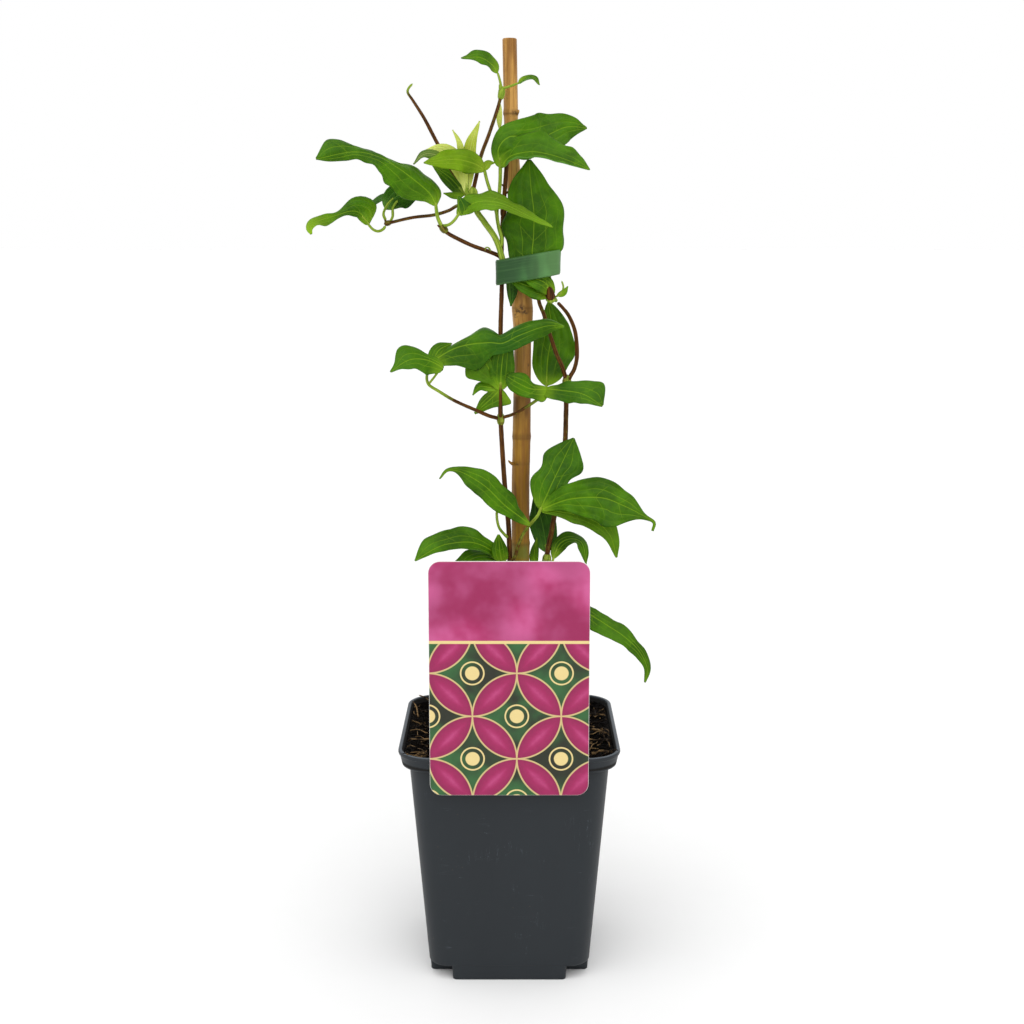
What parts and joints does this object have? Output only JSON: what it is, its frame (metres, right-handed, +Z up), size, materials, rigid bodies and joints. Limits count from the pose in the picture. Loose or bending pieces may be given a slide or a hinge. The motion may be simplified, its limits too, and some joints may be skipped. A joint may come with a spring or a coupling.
{
  "type": "potted clematis plant",
  "caption": "Young climbing clematis in a square black nursery pot, tied with green tape to a bamboo cane, with a hanging picture card",
  "frame": {"origin": "middle of the pot's base, on the surface that it stands on", "axes": "+Z up along the cane, +X to the right and +Y away from the side that carries the card"},
  "size_m": [0.1357, 0.0913, 0.381],
  "materials": {
    "nursery_plastic": "black moulded polypropylene, satin",
    "potting_mix": "damp peat mix with pale bark fibres",
    "bamboo": "dried bamboo, satin skin",
    "tie_tape": "green tying tape, satin",
    "label_card": "printed glossy card",
    "brown_stem": "thin reddish bark",
    "green_stalk": "soft green stalk",
    "leaf_green": "waxy mid-green leaf",
    "leaf_dark": "waxy dark green leaf",
    "leaf_lime": "young lime-green leaf",
    "leaf_pale": "soft pale young leaf"
  },
  "bodies": {
    "root": {"pot": "nursery_plastic", "soil": "potting_mix", "cane": "bamboo", "tie": "tie_tape", "label": "label_card", "stem_left": "brown_stem", "stem_right": "brown_stem", "shoot_thin_right": "brown_stem", "shoot_thin_left": "brown_stem", "petiole_far_left": "brown_stem", "shoot_green": "green_stalk", "stalk_low_curled": "green_stalk", "leaf_tip_pair": "leaf_green", "leaf_narrow_by_cane": "leaf_pale", "leaf_pair_top_right": "leaf_green", "leaf_lime": "leaf_lime", "leaves_young_pale": "leaf_pale", "leaf_young_back": "leaf_green", "leaf_pair_upper_left": "leaf_green", "leaf_far_left": "leaf_green", "leaf_pair_dark": "leaf_dark", "leaf_held_by_tie": "leaf_green", "leaf_dark_at_tie": "leaf_dark", "leaf_group_middle_left": "leaf_green", "leaf_pair_middle_right": "leaf_green", "leaf_middle_on_stem": "leaf_green", "leaf_group_low_front": "leaf_green", "leaf_low_back": "leaf_dark", "leaf_low_right": "leaf_green", "leaf_low_narrow": "leaf_green", "leaves_low_left": "leaf_green", "leaf_beside_label": "leaf_green"}
  },
  "joints": []
}
